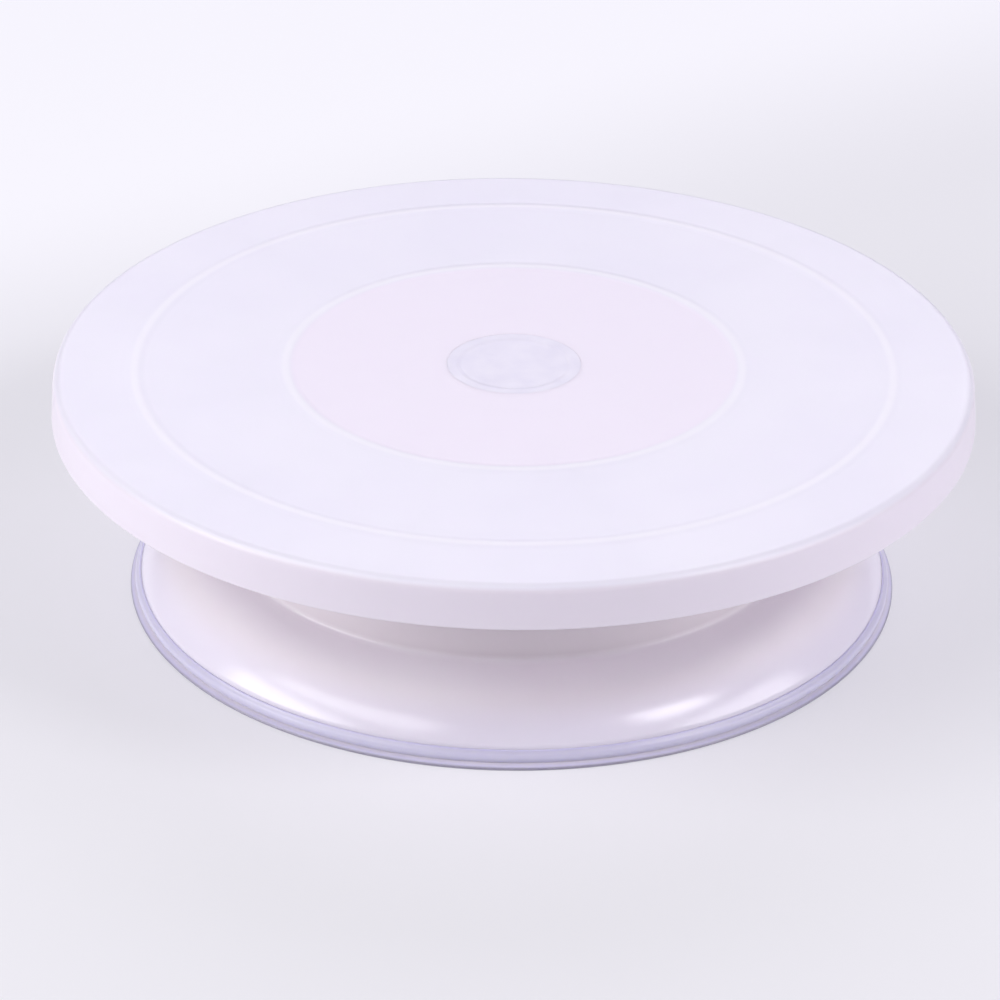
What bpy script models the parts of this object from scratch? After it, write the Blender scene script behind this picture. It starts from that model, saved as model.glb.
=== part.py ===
# Cake turntable: a flanged plate that spins on a ball race over a domed, hollow base.
#
# The frame has its origin on the floor under the centre of the base, +Z up the spin axis.
# Lengths are in metres. Every turned piece is an outline of (radius, height) points that
# runs outwards over its top, down its outer side, back inwards underneath and up its bore.

import math

import bmesh
import bpy
from mathutils import Vector

MM = 0.001

# ---- Driving dimensions ----
HEIGHT = 73.0 * MM             # floor to the crest of the two raised rings on the plate
PLATE_R = 140.0 * MM           # plate, at the foot of its skirt
SKIRT_DEPTH = 13.8 * MM        # crest of the rings to the foot of the skirt
SKIRT_DRAFT = 0.9 * MM         # how much narrower the skirt is at its top
EDGE_ROUND = 2.8 * MM          # rounding between the plate's top and its skirt
WALL = 2.6 * MM                # moulded walls of the plate and the base
RIB = 2.0 * MM                 # thickness of the stiffening ribs
RING_RADII = (69.1 * MM, 114.6 * MM)
RING_WIDTH = 6.6 * MM
RING_RISE = 0.5 * MM
BASE_R = 117.8 * MM            # anti-slip ring, at the floor
RIM_R = 114.4 * MM             # edge of the base shell inside that ring
RIM_TOP = 5.3 * MM
NECK_R = 88.5 * MM             # neck of the base where it meets the dome
NECK_FOOT = 19.8 * MM
DOME_BOW = 29.0                # degrees that the dome's slope turns to either side of its chord
NECK_BOW = 8.0
DECK_R = 73.0 * MM             # flat top of the neck, before its shoulder rounds off
SHOULDER = 6.0 * MM
CAP_R = 20.3 * MM
CAP_BORDER = 2.9 * MM          # raised border round the cap's sunk middle
BALL_R = 4.0 * MM
BALL_COUNT = 12
BALL_CIRCLE_R = 57.0 * MM
SHAFT_R = 5.0 * MM
GAP = 0.3 * MM                 # kept between pieces that touch

# ---- Heights and radii that follow from them ----
TOP = HEIGHT - RING_RISE
CEILING = TOP - WALL
SKIRT_FOOT = HEIGHT - SKIRT_DEPTH
RACE_DEPTH = 3.0 * MM
RACE_STANDOFF = 3.0 * MM       # ball centre to the face of either race
GROOVE_R = BALL_R + GAP
BALL_Z = CEILING - GAP - RACE_DEPTH - RACE_STANDOFF
DECK = BALL_Z - RACE_STANDOFF - RACE_DEPTH - GAP
RACE_IN = BALL_CIRCLE_R - 2 * BALL_R
RACE_OUT = BALL_CIRCLE_R + 2 * BALL_R
LIP = 1.9 * MM                 # thickness of the lips that locate the races
LIP_RISE = 3.0 * MM
FENCE_FOOT = DECK + 1.5 * MM   # lower edge of the wall that hangs round the bearing
RIB_FOOT = CEILING - 5.4 * MM
BOSS_R = 24.0 * MM
BOSS_FOOT = CEILING - 8.9 * MM
CAP_SEAT = TOP - 2.2 * MM
CAP_BED_R = CAP_R + GAP
POCKET_R = CAP_R - 4.0 * MM
POCKET_FLOOR = TOP - 6.0 * MM
FLANGE_R = POCKET_R - 0.8 * MM
FLANGE_TOP = POCKET_FLOOR + 2.5 * MM
SHAFT_HOLE_R = SHAFT_R + GAP
THREAD_R = SHAFT_R - 1.0 * MM
BUSH_R = SHAFT_R + 2.0 * MM
BUSH_BORE_R = BUSH_R + GAP
BUSH_FLANGE_R = 2 * SHAFT_R
BUSH_FLANGE_DEPTH = 1.3 * MM
HUB_R = 12.5 * MM
HUB_FOOT = 31.0 * MM
WASHER_TOP = HUB_FOOT - 0.7 * MM
WASHER_R = 11.0 * MM
WASHER_DEPTH = 1.4 * MM
NUT_DEPTH = 8.0 * MM
NUT_FLATS = 13.0 * MM
THREAD_END = 1.3 * MM          # thread that shows below the nut
CAGE_HALF_WIDTH = 6.0 * MM
CAGE_HALF_DEPTH = 1.2 * MM
SOLE = 1.8 * MM                # rubber under the rim of the base
SCREW_COUNT = 3
SCREW_CIRCLE_R = 10.0 * MM
SCREW_R = 1.5 * MM
SCREW_HEAD_R = 2.9 * MM
SCREW_HEAD_DEPTH = 1.0 * MM
SCREW_LENGTH = 7.5 * MM
SLOT_WIDTH = 0.8 * MM
SCREW_SIDES = 10

FINE, MEDIUM, COARSE = 48, 36, 16     # sides of large, middling and small turned pieces
SHARP_ANGLE = math.radians(32)


def remove_everything():
    for obj in list(bpy.data.objects):
        bpy.data.objects.remove(obj, do_unlink=True)


def make_material(name, color, roughness, metallic=0.0, alpha=1.0):
    mat = bpy.data.materials.new(name)
    mat.use_nodes = True
    shader = mat.node_tree.nodes["Principled BSDF"]
    shader.inputs["Base Color"].default_value = (*color, 1.0)
    shader.inputs["Roughness"].default_value = roughness
    shader.inputs["Metallic"].default_value = metallic
    shader.inputs["Alpha"].default_value = alpha
    return mat


def link(obj):
    bpy.context.scene.collection.objects.link(obj)
    return obj


def make_axis(name, height):
    # An empty on a joint's axis. The pieces that turn about it are its children.
    axis = link(bpy.data.objects.new(name, None))
    axis.empty_display_size = 0.02
    axis.location.z = height
    return axis


def arc(centre, radius, start, end, steps):
    # Points on a circular arc in the (radius, height) plane, angles in degrees.
    points = []
    for i in range(steps + 1):
        angle = math.radians(start + (end - start) * i / steps)
        points.append((centre[0] + radius * math.cos(angle), centre[1] + radius * math.sin(angle)))
    return points


def bow(first, last, half_angle, steps):
    # Points from first to last along an arc that bulges to the left of that direction.
    dx, dz = last[0] - first[0], last[1] - first[1]
    half = math.radians(half_angle)
    points = []
    for i in range(steps + 1):
        swing = half * (2 * i / steps - 1)
        along = math.sin(swing) / math.sin(half)
        lift = (math.cos(swing) - math.cos(half)) / math.sin(half)
        points.append((first[0] + dx / 2 * (1 + along) - dz / 2 * lift,
                       first[1] + dz / 2 * (1 + along) + dx / 2 * lift))
    return points


def turned(name, outline, steps):
    # Turns an outline about Z. It is a closed loop unless it starts and ends on the axis.
    count = len(outline)
    edges = [(i, i + 1) for i in range(count - 1)]
    if outline[0][0] > 0:
        edges.append((count - 1, 0))
    mesh = bpy.data.meshes.new(name)
    mesh.from_pydata([(r, 0.0, z) for r, z in outline], edges, [])
    obj = link(bpy.data.objects.new(name, mesh))
    screw = obj.modifiers.new("Turn", 'SCREW')
    screw.steps = screw.render_steps = steps
    screw.use_merge_vertices = True
    screw.merge_threshold = 0.00001
    return obj


def make_tool(name, mesh_builder):
    # A cutter or an addition that a Boolean reads. It is removed when the piece is finished.
    mesh = bpy.data.meshes.new(name)
    bm = bmesh.new()
    mesh_builder(bm)
    bmesh.ops.recalc_face_normals(bm, faces=bm.faces)
    bm.to_mesh(mesh)
    bm.free()
    tool = link(bpy.data.objects.new(name, mesh))
    tool.display_type = 'WIRE'
    tool.hide_render = True
    return tool


def radial_slabs(outline, thickness, count, turn=0.0):
    # Upright slabs with a (radius, height) outline, spaced evenly round Z.
    def build(bm):
        for n in range(count):
            angle = math.radians(turn) + 2 * math.pi * n / count
            c, s = math.cos(angle), math.sin(angle)
            sides = []
            for side in (-thickness / 2, thickness / 2):
                sides.append([bm.verts.new((r * c - side * s, r * s + side * c, z)) for r, z in outline])
            bm.faces.new(sides[0])
            bm.faces.new(list(reversed(sides[1])))
            for i in range(len(outline)):
                j = (i + 1) % len(outline)
                bm.faces.new((sides[0][j], sides[0][i], sides[1][i], sides[1][j]))
    return build


def round_pegs(circle_r, radius, low, high, count, sides=16):
    # Upright cylinders spaced evenly on a circle round Z.
    def build(bm):
        for n in range(count):
            angle = 2 * math.pi * n / count
            made = bmesh.ops.create_cone(bm, cap_ends=True, segments=sides, radius1=radius,
                                         radius2=radius, depth=high - low)
            bmesh.ops.translate(bm, verts=made["verts"],
                                vec=(circle_r * math.cos(angle), circle_r * math.sin(angle),
                                     (low + high) / 2))
    return build


def combine(obj, operation, mesh_builder):
    boolean = obj.modifiers.new(operation.title(), 'BOOLEAN')
    boolean.operation = operation
    boolean.solver = 'EXACT'
    boolean.object = make_tool(f"{obj.name}_{operation.lower()}", mesh_builder)


def finish(obj, material, axis, place=(0.0, 0.0, 0.0)):
    # Bakes the modifiers, removes their tools, then shades, colours and parents the piece.
    tools = [m.object for m in obj.modifiers if m.type == 'BOOLEAN']
    bpy.context.view_layer.update()
    evaluated = obj.evaluated_get(bpy.context.evaluated_depsgraph_get())
    rough = obj.data
    obj.data = bpy.data.meshes.new_from_object(evaluated)
    obj.modifiers.clear()
    bpy.data.meshes.remove(rough)
    for tool in tools:
        bpy.data.objects.remove(tool, do_unlink=True)
    obj.data.name = obj.name
    obj.data.materials.clear()
    obj.data.materials.append(material)
    obj.data.shade_smooth()
    obj.data.set_sharp_from_angle(angle=SHARP_ANGLE)
    obj.parent = axis
    obj.location = Vector(place) - axis.location
    return obj


def spread(first, count, radius, height, axis):
    # Copies of a finished piece, sharing its mesh, spaced evenly round Z.
    for n in range(1, count):
        angle = 2 * math.pi * n / count
        obj = link(bpy.data.objects.new(f"{first.name[:-2]}{n + 1:02d}", first.data))
        obj.parent = axis
        obj.rotation_euler.z = angle
        place = Vector((radius * math.cos(angle), radius * math.sin(angle), height))
        obj.location = place - axis.location


def plate_outline():
    points = [(SHAFT_HOLE_R, POCKET_FLOOR), (POCKET_R, POCKET_FLOOR), (POCKET_R, CAP_SEAT),
              (CAP_BED_R, CAP_SEAT), (CAP_BED_R, TOP)]
    for ring_r in RING_RADII:
        for offset, rise in ((-0.5, 0), (-0.2, 1), (0.2, 1), (0.5, 0)):
            points.append((ring_r + offset * RING_WIDTH, TOP + rise * RING_RISE))
    skirt_top_r = PLATE_R - SKIRT_DRAFT
    points += arc((skirt_top_r - EDGE_ROUND, TOP - EDGE_ROUND), EDGE_ROUND, 90, 0, 4)
    foot = 0.5 * MM
    points += [(PLATE_R, SKIRT_FOOT + foot), (PLATE_R - foot, SKIRT_FOOT),
               (PLATE_R - WALL + foot, SKIRT_FOOT), (PLATE_R - WALL, SKIRT_FOOT + foot)]
    inner_r = skirt_top_r - WALL
    points += [(inner_r, CEILING - 1.5 * MM), (inner_r - 1.5 * MM, CEILING)]
    for wall_r, wall_foot in ((RING_RADII[1], RIB_FOOT), (RING_RADII[0], FENCE_FOOT),
                              (RACE_IN - GAP - LIP / 2, CEILING - LIP_RISE)):
        for offset, z in ((0.5, CEILING), (0.45, wall_foot), (-0.45, wall_foot), (-0.5, CEILING)):
            points.append((wall_r + offset * LIP, z))
    return points + [(BOSS_R, CEILING), (BOSS_R, BOSS_FOOT), (SHAFT_HOLE_R, BOSS_FOOT)]


def make_plate(material, axis):
    plate = turned("turntable_plate", plate_outline(), FINE)
    slab_top = CEILING + WALL / 2
    outer_end = PLATE_R - SKIRT_DRAFT - WALL / 2
    outer_ribs = [(RING_RADII[0], slab_top), (outer_end, slab_top), (outer_end, RIB_FOOT),
                  (RING_RADII[0], RIB_FOOT)]
    combine(plate, 'UNION', radial_slabs(outer_ribs, RIB, 12, turn=15))
    hub_end = RACE_IN - GAP - LIP / 2
    hub_ribs = [(BOSS_R - LIP, slab_top), (hub_end, slab_top), (hub_end, CEILING - LIP_RISE + GAP),
                (BOSS_R - LIP, BOSS_FOOT + LIP)]
    combine(plate, 'UNION', radial_slabs(hub_ribs, RIB, 6))
    combine(plate, 'DIFFERENCE', round_pegs(SCREW_CIRCLE_R, SCREW_R + GAP, BOSS_FOOT - MM,
                                            POCKET_FLOOR + MM, SCREW_COUNT))
    return finish(plate, material, axis)


def make_cap(material, axis):
    # A sunk disc inside a raised border, with a short skirt that centres it in the pocket.
    skirt_r = POCKET_R - GAP
    skirt_in = skirt_r - 1.2 * MM
    skirt_foot = FLANGE_TOP + 1.3 * GAP
    under = CAP_SEAT + GAP
    crest, dish, edge = TOP + 0.3 * MM, TOP - 0.15 * MM, TOP - 0.1 * MM
    border_in = CAP_R - CAP_BORDER
    outline = [(0, dish), (border_in - 0.4 * MM, dish), (border_in, crest), (CAP_R - 0.6 * MM, crest),
               (CAP_R, edge), (CAP_R, under), (skirt_r, under), (skirt_r, skirt_foot),
               (skirt_in, skirt_foot), (skirt_in, under), (0, under)]
    return finish(turned("center_cap", outline, MEDIUM), material, axis)


def race_outline(side):
    # A ring with a rolling groove. side is -1 below the balls and +1 above them.
    face = BALL_Z + side * RACE_STANDOFF
    back = face + side * RACE_DEPTH
    mouth = math.degrees(math.acos(RACE_STANDOFF / GROOVE_R))
    groove = arc((BALL_CIRCLE_R, BALL_Z), GROOVE_R, side * 90 - mouth, side * 90 + mouth, 4)
    if side < 0:
        return [(RACE_IN, face)] + groove + [(RACE_OUT, face), (RACE_OUT, back), (RACE_IN, back)]
    return [(RACE_IN, back), (RACE_OUT, back), (RACE_OUT, face)] + groove + [(RACE_IN, face)]


def make_cage(material, axis):
    inner, outer = BALL_CIRCLE_R - CAGE_HALF_WIDTH, BALL_CIRCLE_R + CAGE_HALF_WIDTH
    low, high = BALL_Z - CAGE_HALF_DEPTH, BALL_Z + CAGE_HALF_DEPTH
    cage = turned("ball_cage", [(inner, high), (outer, high), (outer, low), (inner, low)], MEDIUM)
    combine(cage, 'DIFFERENCE', round_pegs(BALL_CIRCLE_R, BALL_R + GAP, low - MM, high + MM, BALL_COUNT))
    return finish(cage, material, axis)


def make_balls(material, axis):
    ball = link(bpy.data.objects.new("ball_01", bpy.data.meshes.new("ball_01")))
    bm = bmesh.new()
    bmesh.ops.create_uvsphere(bm, u_segments=10, v_segments=6, radius=BALL_R)
    bm.to_mesh(ball.data)
    bm.free()
    finish(ball, material, axis, (BALL_CIRCLE_R, 0, BALL_Z))
    spread(ball, BALL_COUNT, BALL_CIRCLE_R, BALL_Z, axis)


def make_spindle(material, axis):
    tip = WASHER_TOP - WASHER_DEPTH - 2 * GAP - NUT_DEPTH - THREAD_END
    shoulder = WASHER_TOP + GAP
    under = POCKET_FLOOR + GAP
    chamfer = 0.5 * MM
    outline = [(0, FLANGE_TOP), (FLANGE_R - chamfer, FLANGE_TOP), (FLANGE_R, FLANGE_TOP - chamfer),
               (FLANGE_R, under), (SHAFT_R, under), (SHAFT_R, shoulder), (THREAD_R, shoulder),
               (THREAD_R, tip + chamfer), (THREAD_R - chamfer, tip), (0, tip)]
    spindle = turned("spindle", outline, COARSE)
    combine(spindle, 'DIFFERENCE', round_pegs(SCREW_CIRCLE_R, SCREW_R + GAP, under - MM,
                                              FLANGE_TOP + MM, SCREW_COUNT))
    return finish(spindle, material, axis)


def make_hub_screws(material, axis):
    # Pan-head screws that hold the spindle's flange down on the plate's boss.
    seat = FLANGE_TOP + GAP
    outline = [(0, SCREW_HEAD_DEPTH), (SCREW_HEAD_R * 0.7, SCREW_HEAD_DEPTH),
               (SCREW_HEAD_R, SCREW_HEAD_DEPTH * 0.5), (SCREW_HEAD_R, 0), (SCREW_R, 0),
               (SCREW_R, MM - SCREW_LENGTH), (SCREW_R * 0.3, -SCREW_LENGTH), (0, -SCREW_LENGTH)]
    screw = turned("hub_screw_01", outline, SCREW_SIDES)
    wing = SCREW_HEAD_R * 0.55
    floor, above = SCREW_HEAD_DEPTH * 0.35, 2 * SCREW_HEAD_DEPTH
    slot = [(-wing, floor), (-wing, above), (wing, above), (wing, floor)]
    combine(screw, 'DIFFERENCE', radial_slabs(slot, SLOT_WIDTH, 1))
    finish(screw, material, axis, (SCREW_CIRCLE_R, 0, seat))
    spread(screw, SCREW_COUNT, SCREW_CIRCLE_R, seat, axis)


def make_washer_and_nut(material, axis):
    bore_r = THREAD_R + GAP
    bottom = WASHER_TOP - WASHER_DEPTH
    washer = [(bore_r, WASHER_TOP), (WASHER_R, WASHER_TOP), (WASHER_R, bottom), (bore_r, bottom)]
    finish(turned("spindle_washer", washer, COARSE), material, axis)
    nut_top = bottom - GAP
    corner_r = NUT_FLATS / 2 / math.cos(math.pi / 6)
    chamfer = 0.6 * MM
    nut = turned("spindle_nut", [(0, nut_top), (corner_r - chamfer, nut_top),
                                 (corner_r, nut_top - chamfer), (corner_r, nut_top - NUT_DEPTH),
                                 (0, nut_top - NUT_DEPTH)], 6)
    combine(nut, 'DIFFERENCE', round_pegs(0, bore_r, nut_top - NUT_DEPTH - MM, nut_top + MM, 1, COARSE))
    finish(nut, material, axis)


def dome_curve(inset):
    # The dome from the neck's foot to the rim, or that curve moved into the wall by inset.
    outer = bow((NECK_R + 0.8 * MM, NECK_FOOT), (RIM_R, RIM_TOP), DOME_BOW, 6)
    moved = []
    for i, (r, z) in enumerate(outer):
        before, after = outer[max(i - 1, 0)], outer[min(i + 1, len(outer) - 1)]
        dr, dz = after[0] - before[0], after[1] - before[1]
        length = math.hypot(dr, dz)
        moved.append((r + dz / length * inset, z - dr / length * inset))
    return moved


def base_outline():
    points = [(BUSH_BORE_R, DECK)]
    for lip_r in (RACE_IN - GAP - LIP, RACE_OUT + GAP):
        points += [(lip_r, DECK), (lip_r, DECK + LIP_RISE), (lip_r + LIP, DECK + LIP_RISE),
                   (lip_r + LIP, DECK)]
    shoulder = (DECK_R, DECK - SHOULDER)
    points += arc(shoulder, SHOULDER, 90, 0, 4)
    neck_top = (DECK_R + SHOULDER, DECK - SHOULDER)
    neck_foot = (NECK_R, NECK_FOOT + 0.8 * MM)
    points += bow(neck_top, neck_foot, NECK_BOW, 4)[1:]
    points += dome_curve(0)
    rim_inner_r = RIM_R - WALL
    points += [(RIM_R, SOLE + GAP), (rim_inner_r, SOLE + GAP), (rim_inner_r, RIM_TOP - 0.8 * MM)]
    points += reversed(dome_curve(WALL)[1:-1])
    inner_foot = (NECK_R - WALL, NECK_FOOT - 0.6 * MM)
    points += bow((neck_top[0] - WALL, neck_top[1]), inner_foot, NECK_BOW, 4)[::-1]
    points += arc(shoulder, SHOULDER - WALL, 0, 90, 3)[1:]
    return points + [(HUB_R, DECK - WALL), (HUB_R - 0.5 * MM, HUB_FOOT), (BUSH_BORE_R, HUB_FOOT)]


def make_base(material, frame):
    base = turned("base_shell", base_outline(), FINE)
    top = DECK - WALL / 2
    foot = HUB_FOOT + 2 * MM
    mid_wall = NECK_R - WALL / 2
    ribs = [(HUB_R - 2 * MM, top), (DECK_R, top), (DECK_R + SHOULDER - WALL / 2, DECK - SHOULDER),
            (mid_wall - 1.5 * MM, foot), (mid_wall - 0.8 * MM, NECK_FOOT + 6 * MM), (HUB_R - 2 * MM, foot)]
    combine(base, 'UNION', radial_slabs(ribs, RIB, 6, turn=30))
    return finish(base, material, frame)


def make_anti_slip_ring(material, frame):
    inner_leg, outer_leg = RIM_R - WALL - 2 * GAP, RIM_R + GAP
    back_r = inner_leg - 1.2 * MM
    outline = [(back_r, RIM_TOP - 1.9 * MM), (inner_leg, RIM_TOP - 1.9 * MM), (inner_leg, SOLE),
               (outer_leg, SOLE), (outer_leg, RIM_TOP), (outer_leg + 0.5 * MM, RIM_TOP)]
    bulge = (outer_leg + 0.1 * MM, RIM_TOP - 2.2 * MM)
    outline += arc(bulge, 1.75 * MM, 60, -35, 3)
    outline += [(BASE_R - 2.0 * MM, 1.65 * MM), (BASE_R - 1.3 * MM, 1.4 * MM), (BASE_R - 0.4 * MM, 1.1 * MM),
                (BASE_R, 0.6 * MM), (BASE_R - 0.4 * MM, 0), (back_r + 0.3 * MM, 0), (back_r, 0.3 * MM)]
    return finish(turned("anti_slip_ring", outline, FINE), material, frame)


def make_bush(material, frame):
    seat = DECK + GAP
    top = seat + BUSH_FLANGE_DEPTH
    outline = [(SHAFT_HOLE_R, top), (BUSH_FLANGE_R, top), (BUSH_FLANGE_R, seat), (BUSH_R, seat),
               (BUSH_R, HUB_FOOT + GAP), (SHAFT_HOLE_R, HUB_FOOT + GAP)]
    return finish(turned("spindle_bush", outline, COARSE), material, frame)


def main():
    remove_everything()
    plate_plastic = make_material("plate_polypropylene", (0.86, 0.84, 0.93), 0.35)
    base_plastic = make_material("base_polypropylene", (0.84, 0.79, 0.86), 0.2)
    cap_plastic = make_material("cap_plastic", (0.76, 0.75, 0.86), 0.3, alpha=0.8)
    rubber = make_material("ring_elastomer", (0.62, 0.60, 0.80), 0.3, alpha=0.8)
    acetal = make_material("bearing_acetal", (0.85, 0.85, 0.82), 0.4)
    steel = make_material("bearing_steel", (0.62, 0.62, 0.64), 0.25, metallic=1.0)

    base_frame = make_axis("base_frame", 0)
    plate_axis = make_axis("plate_axis", BALL_Z)
    cage_axis = make_axis("cage_axis", BALL_Z)

    make_base(base_plastic, base_frame)
    make_anti_slip_ring(rubber, base_frame)
    make_bush(acetal, base_frame)
    finish(turned("lower_race", race_outline(-1), MEDIUM), steel, base_frame)

    make_cage(acetal, cage_axis)
    make_balls(steel, cage_axis)

    make_plate(plate_plastic, plate_axis)
    make_cap(cap_plastic, plate_axis)
    finish(turned("upper_race", race_outline(1), MEDIUM), steel, plate_axis)
    make_spindle(steel, plate_axis)
    make_hub_screws(steel, plate_axis)
    make_washer_and_nut(steel, plate_axis)


main()
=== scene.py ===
import math
import bmesh
import bpy
from mathutils import Matrix, Vector


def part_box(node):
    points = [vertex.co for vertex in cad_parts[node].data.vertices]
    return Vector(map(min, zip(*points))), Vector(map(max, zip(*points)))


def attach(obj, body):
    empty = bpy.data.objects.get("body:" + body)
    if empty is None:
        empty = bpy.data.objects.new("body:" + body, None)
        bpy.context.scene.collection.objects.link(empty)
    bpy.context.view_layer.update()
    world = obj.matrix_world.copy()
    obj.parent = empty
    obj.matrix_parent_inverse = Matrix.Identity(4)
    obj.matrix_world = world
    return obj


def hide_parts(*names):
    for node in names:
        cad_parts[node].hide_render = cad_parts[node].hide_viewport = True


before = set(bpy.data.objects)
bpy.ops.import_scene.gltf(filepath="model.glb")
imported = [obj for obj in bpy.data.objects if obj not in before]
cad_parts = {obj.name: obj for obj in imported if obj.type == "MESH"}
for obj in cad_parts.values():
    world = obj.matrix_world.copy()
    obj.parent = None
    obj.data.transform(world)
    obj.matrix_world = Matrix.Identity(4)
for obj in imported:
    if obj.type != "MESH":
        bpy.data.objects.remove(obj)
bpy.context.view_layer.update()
scene = bpy.context.scene
mm = 0.001
fullTurn = 2 * math.pi
overrun = 1.0  # mm that a rib or a cutting tool runs past the face it meets
flatten = (1, 1, 0)  # keeps x and y, so that a length is the distance from the axis


def sizeOf(node):  # a CAD node's lowest and highest corners in mm
    return [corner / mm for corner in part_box(node)]


def toLinear(hexColour):  # sRGB hex to the linear colour that a shader socket takes
    channels = [int(hexColour[i:i + 2], 16) / 255 for i in (1, 3, 5)]
    linear = [c / 12.92 if c <= 0.04045 else ((c + 0.055) / 1.055) ** 2.4 for c in channels]
    return (*linear, 1.0)


def addNode(tree, kind, inputs, **settings):  # one node: inputs take numbers, hex colours, nodes or sockets
    node = tree.nodes.new(kind)
    for name, value in settings.items():
        setattr(node, name, value)
    for key, value in inputs.items():
        if isinstance(value, bpy.types.Node):
            value = value.outputs[0]
        if isinstance(value, bpy.types.NodeSocket):
            tree.links.new(value, node.inputs[key])
        else:
            node.inputs[key].default_value = toLinear(value) if isinstance(value, str) else value
    return node


def startMaterial(name):  # an empty tree and the coordinates that its patterns read
    material = bpy.data.materials.new(name)
    material.use_nodes = True
    tree = material.node_tree
    tree.nodes.clear()
    return material, tree, addNode(tree, 'ShaderNodeTexCoord', {}).outputs['Object']


def endMaterial(material, tree, **shaderInputs):  # a Principled shader on the output, spaces written as _
    inputs = {name.replace('_', ' '): value for name, value in shaderInputs.items()}
    shader = addNode(tree, 'ShaderNodeBsdfPrincipled', inputs)
    addNode(tree, 'ShaderNodeOutputMaterial', {'Surface': shader})
    return material


def addModifier(piece, kind, **settings):
    modifier = piece.modifiers.new(kind.title(), kind)
    for name, value in settings.items():
        setattr(modifier, name, value)
    return modifier


def newPiece(name, data):
    piece = bpy.data.objects.new(name, data)
    scene.collection.objects.link(piece)
    return piece


def evenShade(piece):  # flat faces stay flat beside small roundings
    addModifier(piece, 'WEIGHTED_NORMAL', keep_sharp=True, weight=80)
    return piece


def turn(name, profile, steps=192, closed=True):  # turns (r, z, rounding) corners in mm about the axis
    mesh = bpy.data.meshes.new(name)
    edges = [(i, i + 1) for i in range(len(profile) - 1)]
    if closed:
        edges.append((len(profile) - 1, 0))
    mesh.from_pydata([(corner[0] * mm, 0, corner[1] * mm) for corner in profile], edges, [])
    roundings = [corner[2] if len(corner) > 2 else 0 for corner in profile]
    widest = max(roundings)
    weights = mesh.attributes.new("bevel_weight_vert", 'FLOAT', 'POINT')
    weights.data.foreach_set("value", [rounding / widest for rounding in roundings])
    piece = newPiece(name, mesh)
    addModifier(piece, 'BEVEL', affect='VERTICES', limit_method='WEIGHT', width=widest * mm, segments=4,
                use_clamp_overlap=False)
    addModifier(piece, 'SCREW', steps=steps, render_steps=steps, use_merge_vertices=True,
                merge_threshold=0.002 * mm, use_smooth_shade=True, use_normal_calculate=True)
    return evenShade(piece)


def fromBmesh(name, bm):
    bmesh.ops.recalc_face_normals(bm, faces=bm.faces)
    mesh = bpy.data.meshes.new(name)
    bm.to_mesh(mesh)
    bm.free()
    mesh.shade_smooth()
    return newPiece(name, mesh)


def slabs(name, outline, thickness, count, turnBy=0.0, rounding=0.4):  # upright ribs round the axis
    bm = bmesh.new()
    for n in range(count):
        spin = Matrix.Rotation(math.radians(turnBy) + fullTurn * n / count, 4, 'Z')
        near, far = [[bm.verts.new(spin @ Vector((r, side, z)) * mm) for r, z in outline]
                     for side in (-thickness / 2, thickness / 2)]
        bm.faces.new(near)
        bm.faces.new(far)
        for i in range(len(outline)):
            bm.faces.new((near[i - 1], near[i], far[i], far[i - 1]))
    piece = fromBmesh(name, bm)
    addModifier(piece, 'BEVEL', width=rounding * mm, segments=2, limit_method='ANGLE')
    return evenShade(piece)


def pegs(name, circle, radius, low, high, count, sides=48, turnBy=0.0):  # upright pins on a circle
    bm = bmesh.new()
    for n in range(count):
        angle = math.radians(turnBy) + fullTurn * n / count
        at = Vector((circle * math.cos(angle), circle * math.sin(angle), (low + high) / 2)) * mm
        bmesh.ops.create_cone(bm, cap_ends=True, segments=sides, radius1=radius * mm, radius2=radius * mm,
                              depth=(high - low) * mm, matrix=Matrix.Translation(at))
    return fromBmesh(name, bm)


def applyStack(piece):  # bakes the live modifiers into the mesh
    bpy.context.view_layer.update()
    baked = bpy.data.meshes.new_from_object(piece.evaluated_get(bpy.context.evaluated_depsgraph_get()))
    piece.modifiers.clear()
    piece.data = baked
    return piece


def carve(piece, tool, operation='DIFFERENCE'):  # a Boolean, applied, and its tool removed
    addModifier(piece, 'BOOLEAN', operation=operation, solver='EXACT', object=tool)
    applyStack(piece)
    bpy.data.objects.remove(tool, do_unlink=True)
    piece.data.set_sharp_from_angle(angle=math.radians(35))
    return evenShade(piece)


def putAt(piece, x, y, z, spin=0.0):  # applies the stack, then moves the mesh to its place in mm
    applyStack(piece)
    piece.data.transform(Matrix.Translation(Vector((x, y, z)) * mm) @ Matrix.Rotation(spin, 4, 'Z'))
    return piece


def thread(name, crest, low, high, pitch, x=0.0, y=0.0):  # a V thread: a wound curve with a square bevel
    perTurn = 24
    count = round((high - low) / pitch * perTurn)
    curve = bpy.data.curves.new(name, 'CURVE')
    curve.dimensions = '3D'
    curve.twist_mode = 'Z_UP'
    curve.bevel_depth = pitch / 2 * mm
    curve.bevel_resolution = 0
    curve.use_fill_caps = True
    spline = curve.splines.new('POLY')
    spline.points.add(count)
    for i, point in enumerate(spline.points):
        angle = fullTurn * i / perTurn
        at = Vector((x + (crest - pitch / 2) * math.cos(angle), y + (crest - pitch / 2) * math.sin(angle),
                     low + pitch * i / perTurn))
        point.co = (*(at * mm), 1)
        point.radius = max(0.05, min(1, 2 * i / perTurn, 2 * (count - i) / perTurn))  # fades at both ends
    return newPiece(name, curve)


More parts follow.
